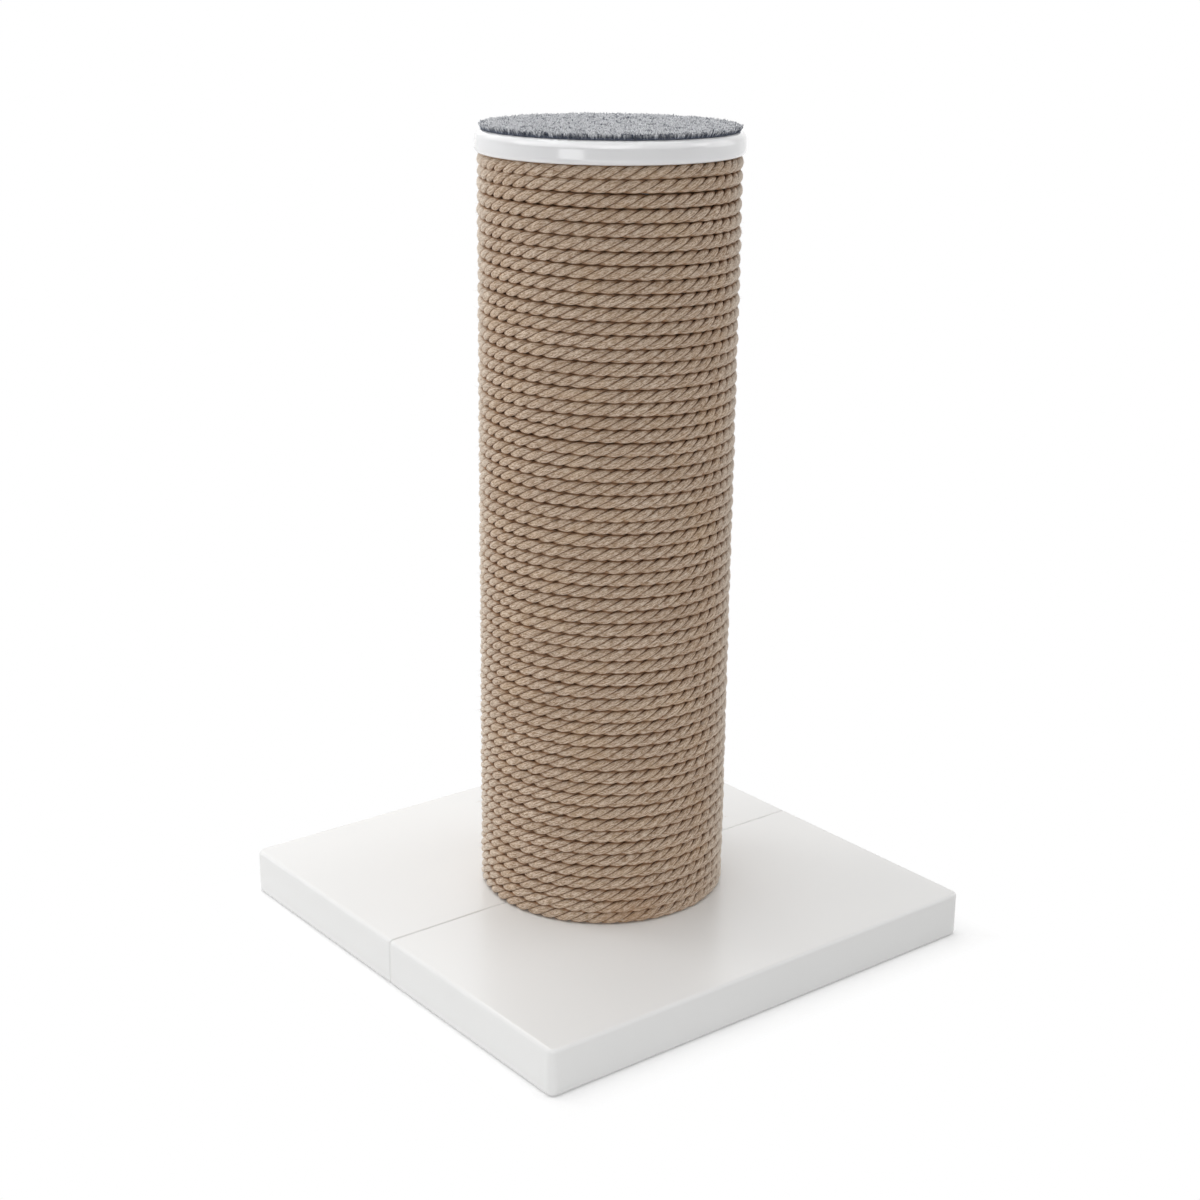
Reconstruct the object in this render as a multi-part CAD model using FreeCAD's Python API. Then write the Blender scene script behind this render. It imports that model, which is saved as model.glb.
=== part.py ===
import FreeCAD, Part
import bisect
import math
import os

# Cat scratching post with a carpeted perch, in millimetres.
# The origin lies on the floor under the middle of the post.
# X runs along the two base boards, Y across them and Z up.

# Base boards and the pads under them
board_length = 402.0
board_width = 201.0
board_thickness = 35.0
corner_round = 6.0
edge_round = 3.0
foot_round = 1.5
seam_round = 1.5
pad_diameter = 30.0
pad_thickness = 1.0
pad_inset = 40.0
pads_per_board = 3

# Dowels across the seam of the base
dowel_diameter = 10.0
dowel_length = 60.0
dowel_chamfer = 1.0
dowel_edge_distance = 45.0
dowel_spacing = 80.0

# Post
post_height = 565.6
tube_diameter = 173.0
tube_wall = 4.5
plug_thickness = 24.0

# Rope, wound left-handed from the base up to the perch
rope_names = ("rope_lower", "rope_middle", "rope_upper")
rope_diameter = 8.9
least_turn_gap = 0.55
rope_seat_gap = 0.3
rope_end_gap = 0.5
rope_front_angle = -130.0
rope_end_angle = 115.0
rope_butt_angle = 180.0
rope_rejoin_angle = 30.0
level_fade_rows = 24
tuck_radius = 12.0

# Perch
disc_diameter = 195.5
disc_thickness = 16.5
disc_top_round = 6.0
disc_bottom_round = 4.0
carpet_diameter = 188.5
carpet_thickness = 4.5
carpet_edge_round = 2.0

# Screws up through the base into the lower plug
base_screw_shank = 5.0
base_screw_head = 10.0
base_screw_head_height = 3.2
base_screw_circle = 110.0
base_screw_count = 6
base_screw_first_angle = 30.0
counterbore_diameter = 15.0
counterbore_depth = 12.0

# Screws down through the perch disc into the upper plug
disc_screw_shank = 5.0
disc_screw_head = 10.0
disc_screw_circle = 110.0
disc_screw_count = 4
disc_screw_first_angle = 23.0

# Screws through the tube wall into the rim of each plug
plug_screw_shank = 3.5
plug_screw_head = 7.0
plug_screw_grip = 20.0
plug_screw_edge_distance = 7.0
plug_screw_count = 6
plug_screw_first_angle = 8.0

# Fits
hole_clearance = 0.1
head_sink = 0.4
plug_clearance = 0.2
pocket_clearance = 0.4
tip_clearance = 1.0
wood_past_tip = 4.0

# Levels, radii and lengths that follow from the sizes above
base_bottom = pad_thickness
base_top = base_bottom + board_thickness
post_top = base_top + post_height
disc_top = post_top + disc_thickness
tube_radius = tube_diameter / 2
bore_radius = tube_radius - tube_wall
screw_grip = plug_thickness - wood_past_tip
rope_path_radius = tube_radius + rope_seat_gap + rope_diameter / 2
rope_room = post_height - 2 * rope_end_gap
rope_rows = math.floor(rope_room / (rope_diameter + least_turn_gap))
end_turn = rope_end_angle / 360
end_drop = end_turn - math.sin(2 * math.pi * end_turn) / (2 * math.pi)
rope_pitch = (rope_room - rope_diameter) / (rope_rows - 1 + 2 * end_drop)
first_row_level = base_top + rope_end_gap + rope_diameter / 2 + end_drop * rope_pitch
first_turn = -end_turn
last_turn = rope_rows - 1 + end_turn

UP = FreeCAD.Vector(0, 0, 1)
DOWN = FreeCAD.Vector(0, 0, -1)
ACROSS = FreeCAD.Vector(0, 1, 0)
SAME_POINT = 1e-6


def around(radius, angle, level):
    """The point at this radius from the post's axis, angle in degrees and level."""
    turned = math.radians(angle)
    return FreeCAD.Vector(radius * math.cos(turned), radius * math.sin(turned), level)


def ring_of_angles(count, first_angle):
    return [first_angle + 360 * index / count for index in range(count)]


def cylinder(diameter, length, start, direction=UP):
    return Part.makeCylinder(diameter / 2, length, start, direction)


def line(start, end):
    return Part.LineSegment(start, end).toShape()


def bend(start, knee, end):
    """The arc that leaves start towards the knee and comes to end away from it."""
    middle = (start + end) / 2
    half_chord = (end - start).Length / 2
    rise = knee - middle
    crown = middle + rise * (half_chord / (half_chord + math.hypot(half_chord, rise.Length)))
    return Part.Arc(start, crown, end).toShape()


def rounded_disc(diameter, bottom, top, bottom_round, top_round):
    """A disc on the post's axis with a rounded upper rim, and a lower one if it has a radius."""
    def place(inset, level):
        return FreeCAD.Vector(diameter / 2 - inset, 0, level)

    low_middle = FreeCAD.Vector(0, 0, bottom)
    high_middle = FreeCAD.Vector(0, 0, top)
    outline = [line(low_middle, place(bottom_round, bottom))]
    if bottom_round:
        outline.append(bend(place(bottom_round, bottom), place(0, bottom), place(0, bottom + bottom_round)))
    outline.append(line(place(0, bottom + bottom_round), place(0, top - top_round)))
    outline.append(bend(place(0, top - top_round), place(0, top), place(top_round, top)))
    outline.append(line(place(top_round, top), high_middle))
    outline.append(line(high_middle, low_middle))
    return Part.Face(Part.Wire(outline)).revolve(low_middle, UP, 360)


def countersunk_screw(shank, head, length, face, direction):
    """A screw whose head lies level with a face."""
    cone = Part.makeCone(head / 2, shank / 2, (head - shank) / 2, face, direction)
    return cone.fuse(cylinder(shank, length, face, direction)).removeSplitter()


def countersunk_hole(shank, head, length, face, direction):
    """The hole for a countersunk screw, with its mouth carried past the face."""
    wide = head + 2 * hole_clearance
    narrow = shank + 2 * hole_clearance
    cone = Part.makeCone(wide / 2, narrow / 2, (wide - narrow) / 2, face, direction)
    bore = cylinder(narrow, length + tip_clearance, face, direction)
    mouth = cylinder(wide, tip_clearance, face, direction * -1)
    return cone.fuse([bore, mouth]).removeSplitter()


# Base screws: the head seats at the top of a counterbore in the board


def base_screw_seats():
    angles = ring_of_angles(base_screw_count, base_screw_first_angle)
    return [around(base_screw_circle / 2, angle, base_bottom + counterbore_depth) for angle in angles]


def base_screw_length():
    return board_thickness - counterbore_depth + screw_grip


def base_screw(seat):
    shank = cylinder(base_screw_shank, base_screw_length(), seat)
    head = cylinder(base_screw_head, base_screw_head_height, seat, DOWN)
    return shank.fuse(head).removeSplitter()


def base_screw_hole(seat):
    bore = cylinder(base_screw_shank + 2 * hole_clearance, base_screw_length() + tip_clearance, seat)
    counterbore = cylinder(counterbore_diameter, counterbore_depth, seat, DOWN)
    return bore.fuse(counterbore)


# Base


def dowel_places():
    outer = board_length / 2 - dowel_edge_distance
    inner = outer - dowel_spacing
    return (-outer, -inner, inner, outer)


def dowel(x, clearance=0.0, end_room=0.0):
    length = dowel_length + 2 * end_room
    start = FreeCAD.Vector(x, -length / 2, base_bottom + board_thickness / 2)
    return cylinder(dowel_diameter + 2 * clearance, length, start, ACROSS)


def chamfered_dowel(x):
    peg = dowel(x)
    return peg.makeChamfer(dowel_chamfer, [edge for edge in peg.Edges if edge.isClosed()])


def lies_on_seam(edge):
    return all(abs(vertex.Y) < SAME_POINT for vertex in edge.Vertexes)


def outer_corners(block):
    outer = [edge for edge in block.Edges if not lies_on_seam(edge)]
    return [edge for edge in outer if abs(edge.tangentAt(edge.FirstParameter).z) > 1 - SAME_POINT]


def rim(block, level):
    """The edges of a board at one level, without the one along the seam."""
    outer = [edge for edge in block.Edges if not lies_on_seam(edge)]
    return [edge for edge in outer if all(abs(vertex.Z - level) < SAME_POINT for vertex in edge.Vertexes)]


def base_board(side):
    """One board of the base: side is -1 for the front one and 1 for the rear one."""
    corner = FreeCAD.Vector(-board_length / 2, min(0, side * board_width), base_bottom)
    block = Part.makeBox(board_length, board_width, board_thickness, corner)
    block = block.makeFillet(corner_round, outer_corners(block))
    block = block.makeFillet(edge_round, rim(block, base_top))
    block = block.makeFillet(foot_round, rim(block, base_bottom))
    block = block.makeFillet(seam_round, [edge for edge in block.Edges if lies_on_seam(edge)])
    holes = [base_screw_hole(seat) for seat in base_screw_seats() if side * seat.y > 0]
    holes += [dowel(x, hole_clearance, tip_clearance) for x in dowel_places()]
    return block.cut(holes)


def floor_pads():
    reach = board_length / 2 - pad_inset
    step = 2 * reach / (pads_per_board - 1)
    pads = []
    for side in (-1, 1):
        for index in range(pads_per_board):
            middle = FreeCAD.Vector(index * step - reach, side * (board_width - pad_inset), 0)
            pads.append(cylinder(pad_diameter, pad_thickness, middle))
    return pads


# Rope: a winding of biarcs, each over about half a turn, with both ends tucked into the post.
# Turns count from the front of the lowest row, so the rows cross the front at whole turns.


def level_share(turn):
    """How level the rows run at the front: 1 at both ends of the post, 0 in an even helix."""
    rows_from_end = min(turn, rope_rows - 1 - turn)
    return min(1, max(0, 1 - rows_from_end / level_fade_rows))


def winding_point(turn):
    sway = level_share(turn) * math.sin(2 * math.pi * turn) / (2 * math.pi)
    level = first_row_level + rope_pitch * (turn - sway)
    return around(rope_path_radius, rope_front_angle - 360 * turn, level)


def winding_way(turn, step=1e-4):
    """The unit vector along the rope, going up."""
    return (winding_point(turn + step) - winding_point(turn - step)).normalize()


def inward_at(point):
    return FreeCAD.Vector(-point.x, -point.y, 0).normalize()


def tuck_points(turn, onward):
    """Where a tucked end leaves the winding, its knee, the end of its bend and its tip."""
    start = winding_point(turn)
    inward = inward_at(start)
    knee = start + winding_way(turn) * onward * tuck_radius
    bend_end = knee + inward * tuck_radius
    return start, knee, bend_end, bend_end + inward * rope_diameter


def biarc(start, start_way, end, end_way):
    """Two arcs that join smoothly and follow the given way at each end."""
    chord = end - start
    opening = 2 * (1 - start_way.dot(end_way))
    along = chord.dot(start_way + end_way)
    reach = (math.sqrt(along * along + opening * chord.dot(chord)) - along) / opening
    first_knee = start + start_way * reach
    last_knee = end - end_way * reach
    middle = (first_knee + last_knee) / 2
    return [bend(start, first_knee, middle), bend(middle, last_knee, end)]


def butt_turn(index):
    """The turn where a length of rope butts on the next one, at the back of the post."""
    return math.floor(rope_rows * index / len(rope_names)) + rope_butt_angle / 360


def butt_points(turn, onward):
    """Where a butted end stops, and where its straight run of one diameter begins."""
    butt = winding_point(turn)
    return butt, butt - winding_way(turn) * onward * rope_diameter


def rope_path(index):
    """The edges of the middle line of one length of rope, upward."""
    if index == 0:
        low_turn = first_turn
        start, knee, bend_end, tip = tuck_points(low_turn, -1)
        first_edges = [line(tip, bend_end), bend(bend_end, knee, start)]
    else:
        joint = butt_turn(index)
        low_turn = joint + rope_rejoin_angle / 360
        butt, run_end = butt_points(joint, -1)
        first_edges = [line(butt, run_end)]
        first_edges += biarc(run_end, winding_way(joint), winding_point(low_turn), winding_way(low_turn))
    if index == len(rope_names) - 1:
        high_turn = last_turn
        start, knee, bend_end, tip = tuck_points(high_turn, 1)
        last_edges = [bend(start, knee, bend_end), line(bend_end, tip)]
    else:
        joint = butt_turn(index + 1)
        high_turn = joint - rope_rejoin_angle / 360
        butt, run_end = butt_points(joint, 1)
        last_edges = biarc(winding_point(high_turn), winding_way(high_turn), run_end, winding_way(joint))
        last_edges += [line(run_end, butt)]
    spans = math.ceil(2 * (high_turn - low_turn))
    turns = [low_turn + (high_turn - low_turn) * step / spans for step in range(spans + 1)]
    arcs = []
    for lower, upper in zip(turns, turns[1:]):
        arcs += biarc(winding_point(lower), winding_way(lower), winding_point(upper), winding_way(upper))
    return first_edges + arcs + last_edges


def rope_along(edges):
    start = edges[0].valueAt(edges[0].FirstParameter)
    way = edges[0].tangentAt(edges[0].FirstParameter)
    section = Part.Wire(Part.Circle(start, way, rope_diameter / 2).toShape())
    return Part.Wire(edges).makePipeShell([section], True, False)


def tuck_pocket(turn, onward):
    """The square slot in the tube and its plug that holds one tucked end of the rope."""
    start = winding_point(turn)
    inward = inward_at(start)
    along = UP.cross(inward) * onward
    width = tuck_radius + rope_diameter / 2 + 2 * pocket_clearance
    depth = tuck_radius + rope_diameter + pocket_clearance
    height = rope_end_gap + rope_diameter + 2 * pocket_clearance
    bottom = post_top + pocket_clearance - height if onward > 0 else base_top - pocket_clearance
    corner = start - along * pocket_clearance
    corner.z = bottom
    side = along * width
    reach = inward * depth
    outline = [corner, corner + side, corner + side + reach, corner + reach, corner]
    return Part.Face(Part.makePolygon(outline)).extrude(UP * height)


def least_gap(edges, points_per_edge=12):
    """The least free space between a turn of the rope and the turn above it, on points."""
    points = []
    for edge in edges:
        points += edge.discretize(points_per_edge + 1)[:-1]
    runs = [0.0]
    for point, following in zip(points, points[1:]):
        runs.append(runs[-1] + point.distanceToPoint(following))
    half_turn = math.pi * rope_path_radius
    gap = math.inf
    for point, run in zip(points, runs):
        nearest = bisect.bisect(runs, run + half_turn)
        farthest = bisect.bisect(runs, run + 3 * half_turn)
        for later in range(nearest, min(farthest, len(points) - 1)):
            reach = point.distanceToLineSegment(points[later], points[later + 1]).Length
            gap = min(gap, reach - rope_diameter)
    return gap


# Post


def plug_screws(level, make):
    """The screws round one plug, or their holes: make is the function that forms one."""
    length = tube_wall - head_sink + plug_screw_grip
    angles = ring_of_angles(plug_screw_count, plug_screw_first_angle)
    faces = [around(tube_radius - head_sink, angle, level) for angle in angles]
    return [make(plug_screw_shank, plug_screw_head, length, face, inward_at(face)) for face in faces]


def disc_screws(make):
    """The screws of the perch disc, or their holes: make is the function that forms one."""
    length = disc_thickness - head_sink + screw_grip
    angles = ring_of_angles(disc_screw_count, disc_screw_first_angle)
    faces = [around(disc_screw_circle / 2, angle, disc_top - head_sink) for angle in angles]
    return [make(disc_screw_shank, disc_screw_head, length, face, DOWN) for face in faces]


def plug(bottom):
    return cylinder(2 * (bore_radius - plug_clearance), plug_thickness, FreeCAD.Vector(0, 0, bottom))


def tube():
    foot = FreeCAD.Vector(0, 0, base_top)
    return cylinder(tube_diameter, post_height, foot).cut(cylinder(2 * bore_radius, post_height, foot))


lower_screw_level = base_top + plug_thickness - plug_screw_edge_distance
upper_screw_level = post_top - plug_thickness + plug_screw_edge_distance
lower_cuts = plug_screws(lower_screw_level, countersunk_hole) + [tuck_pocket(first_turn, -1)]
upper_cuts = plug_screws(upper_screw_level, countersunk_hole) + [tuck_pocket(last_turn, 1)]
base_screw_holes = [base_screw_hole(seat) for seat in base_screw_seats()]
disc_screw_holes = disc_screws(countersunk_hole)

pieces = {
    "base_board_front": base_board(-1),
    "base_board_rear": base_board(1),
    "base_dowels": Part.makeCompound([chamfered_dowel(x) for x in dowel_places()]),
    "floor_pads": Part.makeCompound(floor_pads()),
    "base_screws": Part.makeCompound([base_screw(seat) for seat in base_screw_seats()]),
    "post_tube": tube().cut(lower_cuts + upper_cuts),
    "lower_plug": plug(base_top).cut(lower_cuts + base_screw_holes),
    "upper_plug": plug(post_top - plug_thickness).cut(upper_cuts + disc_screw_holes),
    "lower_plug_screws": Part.makeCompound(plug_screws(lower_screw_level, countersunk_screw)),
    "upper_plug_screws": Part.makeCompound(plug_screws(upper_screw_level, countersunk_screw)),
    "perch_disc": rounded_disc(
        disc_diameter, post_top, disc_top, disc_bottom_round, disc_top_round
    ).cut(disc_screw_holes),
    "disc_screws": Part.makeCompound(disc_screws(countersunk_screw)),
    "carpet_pad": rounded_disc(
        carpet_diameter, disc_top, disc_top + carpet_thickness, 0, carpet_edge_round
    ),
}

winding_edges = []
for index, name in enumerate(rope_names):
    edges = rope_path(index)
    length = sum(edge.Length for edge in edges)
    pieces[name] = rope_along(edges)
    winding_edges += edges
    share = pieces[name].Volume / (math.pi * rope_diameter ** 2 / 4 * length)
    print(f"{name}: {length:.0f} mm of rope, volume {share:.5f} of section times length")
rope_run = sum(edge.Length for edge in winding_edges)
turn_count = last_turn - first_turn
print(f"winding: {turn_count:.2f} turns, {rope_run / 1000:.2f} m, least gap {least_gap(winding_edges):.3f} mm")

os.makedirs("parts", exist_ok=True)
for name, shape in pieces.items():
    shape.exportStep(f"parts/{name}.step")
    print(name, "solids", len(shape.Solids), "valid", shape.isValid(), "volume", round(shape.Volume))
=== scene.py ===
"""Dressed scene of a rope-wound cat scratching post with a carpeted perch, in metres."""

import logging
import math
from collections.abc import Sequence
from dataclasses import dataclass
from enum import Enum

import bpy
import numpy as np
from mathutils import Matrix, Vector


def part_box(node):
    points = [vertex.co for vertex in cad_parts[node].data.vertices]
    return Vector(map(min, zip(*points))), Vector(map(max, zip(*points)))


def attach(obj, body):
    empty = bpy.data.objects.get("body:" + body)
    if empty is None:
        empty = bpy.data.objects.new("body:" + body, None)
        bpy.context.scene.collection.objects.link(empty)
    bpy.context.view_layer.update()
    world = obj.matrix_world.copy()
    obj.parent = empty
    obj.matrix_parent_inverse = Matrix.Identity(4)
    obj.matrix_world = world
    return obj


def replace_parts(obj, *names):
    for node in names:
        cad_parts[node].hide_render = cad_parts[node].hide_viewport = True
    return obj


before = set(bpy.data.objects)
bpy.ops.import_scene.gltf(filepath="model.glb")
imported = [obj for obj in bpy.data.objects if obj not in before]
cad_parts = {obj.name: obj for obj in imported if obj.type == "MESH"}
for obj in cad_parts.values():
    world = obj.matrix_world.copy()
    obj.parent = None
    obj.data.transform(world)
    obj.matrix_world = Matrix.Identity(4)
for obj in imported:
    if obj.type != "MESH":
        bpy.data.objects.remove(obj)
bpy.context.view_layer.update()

LOG = logging.getLogger("scratching_post")
BODY = "root"
FULL_TURN = 2 * math.pi
THIRDS = tuple(FULL_TURN * turn / 3 for turn in range(3))
SPIKE_POINTS = 7

Colour = tuple[float, float, float, float]
Triple = tuple[float, float, float]
Range = tuple[float, float]
Socket = bpy.types.NodeSocket
Material = bpy.types.Material


class Slot(Enum):
    """Material slot names for the rope and the carpet."""

    ROPE = "rope"
    CARPET = "carpet"


class Hand(Enum):
    """Which way a helix turns round its axis as it advances."""

    LEFT = -1
    RIGHT = 1


def srgb(red: float, green: float, blue: float) -> Colour:
    """Turn 8-bit screen values into a linear colour, by the curve that sRGB defines.

    Args:
        red: Red, from 0 to 255.
        green: Green, from 0 to 255.
        blue: Blue, from 0 to 255.

    Returns:
        The linear colour, with full alpha.
    """
    shares = np.array((red, green, blue)) / 255
    linear = np.where(shares <= 0.04045, shares / 12.92, ((shares + 0.055) / 1.055) ** 2.4)
    return (*(float(value) for value in linear), 1.0)


def unit(vectors: np.ndarray) -> np.ndarray:
    """Scale each vector of an array to length 1."""
    return vectors / np.linalg.norm(vectors, axis=-1, keepdims=True)


def ease(values: np.ndarray, low: float, high: float) -> np.ndarray:
    """Rise smoothly from 0 to 1 between two values."""
    share = np.clip((values - low) / (high - low), 0, 1)
    return share * share * (3 - 2 * share)


def new_mesh(name: str, points: np.ndarray, face_sets: Sequence[np.ndarray]) -> bpy.types.Mesh:
    """Make a smooth mesh.

    Args:
        name: The mesh's name.
        points: Its points, one row each.
        face_sets: Arrays of point numbers, one row per face, each array with its own count of corners.

    Returns:
        The mesh, with its edges worked out.
    """
    mesh = bpy.data.meshes.new(name)
    corners = np.concatenate([faces.ravel() for faces in face_sets])
    counts = np.concatenate([np.full(len(faces), faces.shape[1]) for faces in face_sets])
    mesh.vertices.add(len(points))
    mesh.vertices.foreach_set("co", points.astype(np.float32).ravel())
    mesh.loops.add(len(corners))
    mesh.loops.foreach_set("vertex_index", corners.astype(np.int32))
    mesh.polygons.add(len(counts))
    mesh.polygons.foreach_set("loop_start", (np.cumsum(counts) - counts).astype(np.int32))
    mesh.update(calc_edges=True)
    mesh.shade_smooth()
    return mesh


def spike_faces(count: int) -> tuple[np.ndarray, np.ndarray]:
    """List the faces of closed spikes, each with a foot of three points, a knee of three and a tip.

    Args:
        count: How many spikes there are.

    Returns:
        The triangles and the quads.
    """
    first = SPIKE_POINTS * np.arange(count)[:, None]
    around = ((0, 1), (1, 2), (2, 0))
    foot = first + np.array((0, 2, 1))
    tips = [first + np.array((start + 3, end + 3, 6)) for start, end in around]
    sides = [first + np.array((start, end, end + 3, start + 3)) for start, end in around]
    return np.concatenate((foot, *tips)), np.concatenate(sides)


def spike_points(
    levels: Sequence[tuple[np.ndarray, np.ndarray | float]],
    side: np.ndarray,
    other: np.ndarray,
    tip: np.ndarray,
) -> np.ndarray:
    """Place the points of spikes in the order that spike_faces counts them.

    Args:
        levels: The middles of the feet and of the knees, each with its radius.
        side: A direction across each spike.
        other: The direction across both the spike and side.
        tip: The tips.

    Returns:
        The points, one row each, spike by spike.
    """
    rows = [place + radius * (math.cos(angle) * side + math.sin(angle) * other)
            for place, radius in levels for angle in THIRDS]
    return np.stack((*rows, tip), axis=1).reshape(-1, 3)


def set_point_values(mesh: bpy.types.Mesh, name: str, values: np.ndarray) -> None:
    """Store one number per point for the materials to read."""
    attribute = mesh.attributes.new(name, "FLOAT", "POINT")
    attribute.data.foreach_set("value", values.astype(np.float32).ravel())


def set_lay_map(mesh: bpy.types.Mesh, places: np.ndarray) -> None:
    """Give the mesh the map that the rope's fibres follow, one row of two numbers per corner."""
    mesh.uv_layers.new(name="lay").data.foreach_set("uv", places.astype(np.float32).ravel())


def add_piece(name: str, mesh: bpy.types.Mesh, material: Material) -> bpy.types.Object:
    """Put a mesh into the scene as a piece of the object.

    Args:
        name: The piece's name.
        mesh: Its mesh, in the object's frame.
        material: Its material.

    Returns:
        The piece, riding on the object's body.
    """
    piece = bpy.data.objects.new(name, mesh)
    bpy.context.scene.collection.objects.link(piece)
    mesh.materials.append(material)
    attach(piece, BODY)
    LOG.info("%s: %d points, %d faces", name, len(mesh.vertices), len(mesh.polygons))
    return piece


def dress_nodes(names: Sequence[str], material: Material) -> None:
    """Give CAD nodes their material.

    Args:
        names: The nodes' names.
        material: The material for all of their slots.
    """
    for name in names:
        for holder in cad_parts[name].material_slots:
            holder.material = material
        LOG.info("%s: %s", name, material.name)


class Graph:
    """A node tree, with short calls that add nodes and join them."""

    def __init__(self, tree: bpy.types.NodeTree) -> None:
        """Keep the tree that the nodes go into."""
        self.tree = tree

    def feed(self, socket: Socket, value: object) -> None:
        """Give an input its value, or join it to an output.

        Args:
            socket: The input.
            value: A plain value, or the output to join.
        """
        if isinstance(value, bpy.types.NodeSocket):
            self.tree.links.new(value, socket)
        else:
            socket.default_value = value

    def add(self, kind: str, inputs: dict | None = None, **options: object) -> bpy.types.Node:
        """Add a node.

        Args:
            kind: The node's type, without its first part.
            inputs: Values or outputs, by the input's name or number.
            options: The node's own settings.

        Returns:
            The new node.
        """
        node = self.tree.nodes.new(f"ShaderNode{kind}")
        for name, value in options.items():
            setattr(node, name, value)
        for key, value in (inputs or {}).items():
            self.feed(node.inputs[key], value)
        return node

    def math(self, operation: str, first: object, second: object = 0.0) -> Socket:
        """Add a sum on two values, each a number or an output."""
        return self.add("Math", {0: first, 1: second}, operation=operation).outputs[0]

    def weigh(self, first: Socket, share: float, second: Socket, other_share: float) -> Socket:
        """Add two values together, each by its own share."""
        weighed = [self.math("MULTIPLY", *pair) for pair in ((first, share), (second, other_share))]
        return self.math("ADD", *weighed)

    def scale(self, vector: Socket, factors: Triple) -> Socket:
        """Multiply a vector by one factor per axis."""
        return self.add("VectorMath", {0: vector, 1: factors}, operation="MULTIPLY").outputs[0]

    def noise(self, place: Socket, scale: object, detail: float = 2.0, roughness: float = 0.5) -> Socket:
        """Add a noise that varies about one half.

        Args:
            place: Where to read it.
            scale: Its scale.
            detail: How many finer layers it has.
            roughness: How strong the finer layers are.

        Returns:
            The noise's value.
        """
        inputs = {"Vector": place, "Scale": scale, "Detail": detail, "Roughness": roughness}
        return self.add("TexNoise", inputs).outputs[0]

    def spread(
        self, value: Socket, low: float, high: float, start: object = 0.0, end: object = 1.0
    ) -> Socket:
        """Stretch a range of a value over another range, and hold it at the ends.

        Args:
            value: The value.
            low: Where the range starts.
            high: Where the range ends.
            start: What low becomes.
            end: What high becomes.

        Returns:
            The stretched value.
        """
        inputs = {"Value": value, "From Min": low, "From Max": high, "To Min": start, "To Max": end}
        return self.add("MapRange", inputs).outputs[0]

    def blend(self, share: object, first: object, second: object) -> Socket:
        """Mix two colours, with this share of the second."""
        inputs = {0: share, 6: first, 7: second}
        return self.add("Mix", inputs, data_type="RGBA").outputs[2]

    def attribute(self, name: str) -> Socket:
        """Read a number that the mesh carries."""
        return self.add("Attribute", attribute_name=name).outputs["Fac"]

    def place(self) -> Socket:
        """Read the place in the object's frame."""
        return self.add("TexCoord").outputs["Object"]

    def group(self, tree: bpy.types.NodeTree, inputs: dict) -> bpy.types.bpy_prop_collection:
        """Place a shared effect with its own inputs, by name, and give its outputs."""
        return self.add("Group", inputs, node_tree=tree).outputs

    def backdrop_rays(self) -> Socket:
        """Find the rays that show the backdrop itself and don't carry its light.

        Returns:
            1 for camera, mirror and glass rays, and 0 for the others.
        """
        paths = self.add("LightPath").outputs
        shown = self.math("MAXIMUM", paths["Is Camera Ray"], paths["Is Glossy Ray"])
        return self.math("MAXIMUM", shown, paths["Is Transmission Ray"])


@dataclass(frozen=True)
class Port:
    """A named socket of a node group."""

    name: str
    kind: str = "Float"


@dataclass
class GroupParts:
    """A node group under construction."""

    graph: Graph
    given: bpy.types.bpy_prop_collection
    result: bpy.types.bpy_prop_collection

    def finish(self, outputs: dict[str, Socket]) -> bpy.types.NodeTree:
        """Join the group's outputs.

        Args:
            outputs: What feeds each output, by name.

        Returns:
            The finished group.
        """
        for name, value in outputs.items():
            self.graph.feed(self.result[name], value)
        return self.graph.tree


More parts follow.
